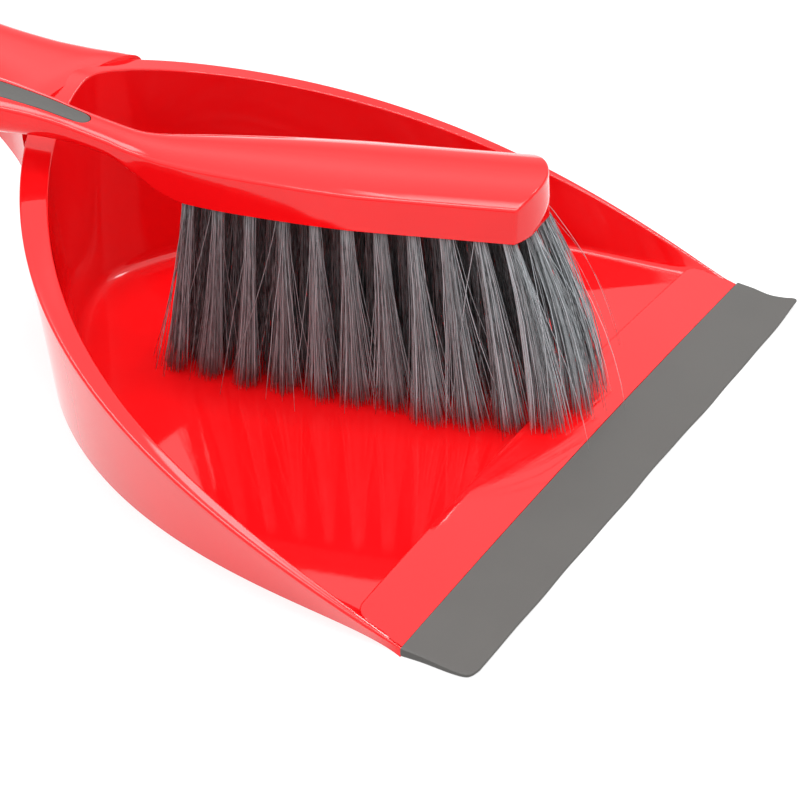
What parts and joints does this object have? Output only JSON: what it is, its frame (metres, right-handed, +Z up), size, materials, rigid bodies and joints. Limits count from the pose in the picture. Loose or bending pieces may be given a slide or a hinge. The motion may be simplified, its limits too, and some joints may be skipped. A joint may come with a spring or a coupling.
{
  "type": "dustpan and brush set",
  "caption": "High-backed red dustpan with a grey rubber lip, holding a red hand brush that stands on its grey bristles and lifts out.",
  "frame": {"origin": "on the ground, at the middle of the line where the pan's front edge meets the rubber lip", "axes": "+Z up, +Y from the lip back to the pan handle, +X to the right seen from behind the pan handle looking over the open front; the pan is symmetric about X = 0"},
  "size_m": [0.2432, 0.3572, 0.1091],
  "materials": {
    "red_plastic": "gloss",
    "grey_rubber": "matt",
    "bristle_fibre": "satin fibres"
  },
  "bodies": {
    "pan": {"pan_body": "red_plastic", "pan_lip": "grey_rubber"},
    "brush": {"brush_body": "red_plastic", "brush_grip": "grey_rubber", "tuft_01": "bristle_fibre", "tuft_02": "bristle_fibre", "tuft_03": "bristle_fibre", "tuft_04": "bristle_fibre", "tuft_05": "bristle_fibre", "tuft_06": "bristle_fibre", "tuft_07": "bristle_fibre", "tuft_08": "bristle_fibre", "tuft_09": "bristle_fibre", "tuft_10": "bristle_fibre", "tuft_11": "bristle_fibre", "tuft_12": "bristle_fibre", "tuft_13": "bristle_fibre", "tuft_14": "bristle_fibre", "tuft_15": "bristle_fibre", "tuft_16": "bristle_fibre", "tuft_17": "bristle_fibre", "tuft_18": "bristle_fibre", "tuft_19": "bristle_fibre", "tuft_20": "bristle_fibre", "tuft_21": "bristle_fibre", "tuft_22": "bristle_fibre", "tuft_23": "bristle_fibre", "tuft_24": "bristle_fibre", "tuft_25": "bristle_fibre", "tuft_26": "bristle_fibre", "tuft_27": "bristle_fibre", "tuft_28": "bristle_fibre", "tuft_29": "bristle_fibre", "tuft_30": "bristle_fibre", "tuft_31": "bristle_fibre", "tuft_32": "bristle_fibre", "tuft_33": "bristle_fibre", "tuft_34": "bristle_fibre", "tuft_35": "bristle_fibre", "tuft_36": "bristle_fibre", "tuft_37": "bristle_fibre", "tuft_38": "bristle_fibre", "tuft_39": "bristle_fibre", "tuft_40": "bristle_fibre", "tuft_41": "bristle_fibre", "tuft_42": "bristle_fibre", "tuft_43": "bristle_fibre", "tuft_44": "bristle_fibre", "tuft_45": "bristle_fibre"}
  },
  "joints": [
    {"name": "brush_lift", "type": "slide", "parent": "pan", "child": "brush", "axis": [0, 0, 1], "range_m": [0, 0.15]}
  ]
}
